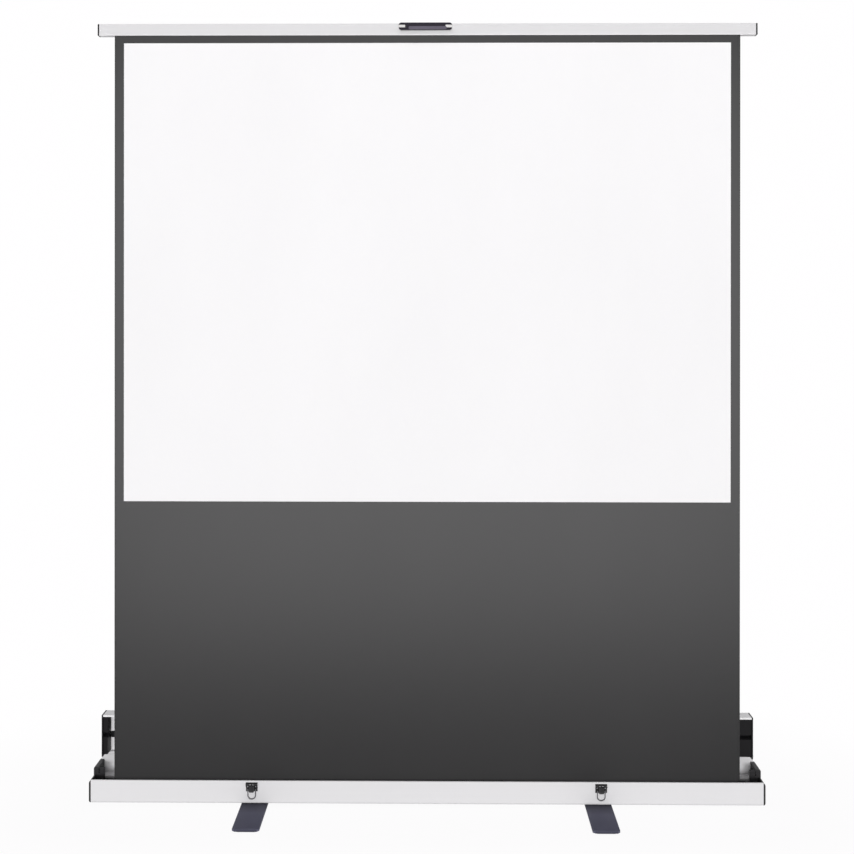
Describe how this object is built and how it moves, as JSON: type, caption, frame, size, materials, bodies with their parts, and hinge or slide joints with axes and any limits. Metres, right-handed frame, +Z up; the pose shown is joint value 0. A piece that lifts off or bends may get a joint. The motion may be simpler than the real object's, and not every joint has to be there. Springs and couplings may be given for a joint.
{
  "type": "floor-standing pull-up projection screen",
  "caption": "Floor-standing pull-up projection screen: matte white cloth with a black border and drop, raised by a scissor from a lidded aluminium case on swivelling feet.",
  "frame": {"origin": "on the floor, under the middle of the case", "axes": "+Z up, +X along the case to the viewer's right, +Y to the back, away from the viewer"},
  "size_m": [1.804, 0.46, 2.091],
  "materials": {
    "aluminium": "satin anodised extrusion",
    "steel": "zinc plated",
    "nickel": "nickel plated",
    "black_plastic": "moulded, fine texture",
    "black_steel": "black coated",
    "foot_paint": "dark blue-grey powder coat",
    "grip_plastic": "soft moulded grip",
    "rubber": "matte",
    "foam": "closed-cell foam",
    "nylon": "natural nylon",
    "black_cloth": "black coated screen cloth",
    "white_cloth": "matte white viewing surface"
  },
  "bodies": {
    "base": {"base_shell": "aluminium", "base_end_cap_left": "black_plastic", "base_end_cap_right": "black_plastic", "roller_bracket_left": "steel", "roller_bracket_right": "black_plastic", "spring_arbor": "steel", "torsion_spring": "steel", "pivot_bracket": "steel", "base_pivot_pin": "steel", "latch_plate_left": "black_steel", "latch_plate_right": "black_steel", "latch_pin_left": "steel", "latch_pin_right": "steel", "foot_bolt_left": "steel", "foot_bolt_right": "steel", "screen_cloth": "black_cloth", "viewing_surface": "white_cloth"},
    "roller": {"roller_tube": "aluminium", "roller_plug_left": "black_plastic", "roller_plug_right": "black_plastic", "cloth_wrap": "black_cloth"},
    "lid": {"lid_shell": "aluminium", "lid_end_cap_left": "black_plastic", "lid_end_cap_right": "black_plastic", "lid_foam_strip": "foam", "latch_keeper_left": "black_steel", "latch_keeper_right": "black_steel"},
    "lower_front_arm": {"lower_arm_front": "aluminium", "lower_cross_pin": "steel", "right_elbow_pin": "steel"},
    "lower_rear_arm": {"lower_arm_rear": "aluminium", "left_elbow_pin": "steel", "base_slider_pin": "steel"},
    "upper_front_arm": {"upper_arm_front": "aluminium", "upper_cross_pin": "steel", "top_slider_pin": "steel"},
    "upper_rear_arm": {"upper_arm_rear": "aluminium"},
    "base_slide": {"base_slider": "nylon"},
    "top_slide": {"top_slider": "nylon"},
    "top": {"top_bar": "aluminium", "top_bar_end_cap_left": "black_plastic", "top_bar_end_cap_right": "black_plastic", "cloth_rod": "steel", "top_pivot_block": "nylon", "top_pivot_pin": "steel", "handle_grip": "grip_plastic", "handle_bracket_left": "nickel", "handle_bracket_right": "nickel"},
    "foot_left": {"foot_left": "foot_paint", "foot_pad_left_front": "rubber", "foot_pad_left_rear": "rubber"},
    "lever_left": {"latch_lever_left": "black_steel"},
    "bail_left": {"latch_bail_left": "steel"},
    "foot_right": {"foot_right": "foot_paint", "foot_pad_right_front": "rubber", "foot_pad_right_rear": "rubber"},
    "lever_right": {"latch_lever_right": "black_steel"},
    "bail_right": {"latch_bail_right": "steel"}
  },
  "joints": [
    {"name": "scissor_fold", "type": "hinge", "parent": "base", "child": "lower_front_arm", "pos_m": [-0.39502, 0.004, 0.041], "axis": [0, 1, 0], "range_deg": [0, 54], "deforming": ["screen_cloth", "viewing_surface"]},
    {"name": "lower_cross", "type": "hinge", "parent": "lower_front_arm", "child": "lower_rear_arm", "pos_m": [-0.04046, 0.009, 0.54963], "axis": [0, 1, 0], "range_deg": [-108, 0]},
    {"name": "left_elbow", "type": "hinge", "parent": "lower_rear_arm", "child": "upper_front_arm", "pos_m": [-0.39502, 0.009, 1.05825], "axis": [0, 1, 0], "range_deg": [0, 108]},
    {"name": "upper_cross", "type": "hinge", "parent": "upper_front_arm", "child": "upper_rear_arm", "pos_m": [-0.04046, 0.009, 1.56688], "axis": [0, 1, 0], "range_deg": [-108, 0]},
    {"name": "top_pivot", "type": "hinge", "parent": "upper_rear_arm", "child": "top", "pos_m": [-0.39502, 0.014, 2.0755], "axis": [0, 1, 0], "range_deg": [0, 54]},
    {"name": "base_slide_pivot", "type": "hinge", "parent": "lower_rear_arm", "child": "base_slide", "pos_m": [0.3141, 0.03, 0.041], "axis": [0, 1, 0], "range_deg": [0, 54]},
    {"name": "top_slide_pivot", "type": "hinge", "parent": "upper_front_arm", "child": "top_slide", "pos_m": [0.3141, -0.02, 2.0755], "axis": [0, 1, 0], "range_deg": [-54, 0]},
    {"name": "roller_spin", "type": "hinge", "parent": "base", "child": "roller", "pos_m": [0, -0.0287, 0.039], "axis": [1, 0, 0], "range_deg": [0, 5552.2]},
    {"name": "lid_hinge", "type": "hinge", "parent": "base", "child": "lid", "pos_m": [0, 0.056, 0.104], "axis": [1, 0, 0], "range_deg": [-10, 1.4]},
    {"name": "foot_left_swivel", "type": "hinge", "parent": "base", "child": "foot_left", "pos_m": [-0.458, 0, 0.006], "axis": [0, 0, 1], "range_deg": [0, 90]},
    {"name": "foot_right_swivel", "type": "hinge", "parent": "base", "child": "foot_right", "pos_m": [0.458, 0, 0.006], "axis": [0, 0, 1], "range_deg": [-90, 0]},
    {"name": "latch_lever_left_hinge", "type": "hinge", "parent": "base", "child": "lever_left", "pos_m": [-0.465, -0.0655, 0.062], "axis": [-1, 0, 0], "range_deg": [0, 95]},
    {"name": "latch_bail_left_hinge", "type": "hinge", "parent": "lever_left", "child": "bail_left", "pos_m": [-0.465, -0.0642, 0.054], "axis": [-1, 0, 0], "range_deg": [0, 100]},
    {"name": "latch_lever_right_hinge", "type": "hinge", "parent": "base", "child": "lever_right", "pos_m": [0.465, -0.0655, 0.062], "axis": [-1, 0, 0], "range_deg": [0, 95]},
    {"name": "latch_bail_right_hinge", "type": "hinge", "parent": "lever_right", "child": "bail_right", "pos_m": [0.465, -0.0642, 0.054], "axis": [-1, 0, 0], "range_deg": [0, 100]}
  ],
  "couplings": [
    {"joint": "lower_cross", "follows": "scissor_fold", "ratio": -2},
    {"joint": "left_elbow", "follows": "scissor_fold", "ratio": 2},
    {"joint": "upper_cross", "follows": "scissor_fold", "ratio": -2},
    {"joint": "top_pivot", "follows": "scissor_fold", "ratio": 1},
    {"joint": "base_slide_pivot", "follows": "scissor_fold", "ratio": 1},
    {"joint": "top_slide_pivot", "follows": "scissor_fold", "ratio": -1},
    {"joint": "roller_spin", "follows": "scissor_fold", "ratio": 102.8}
  ]
}
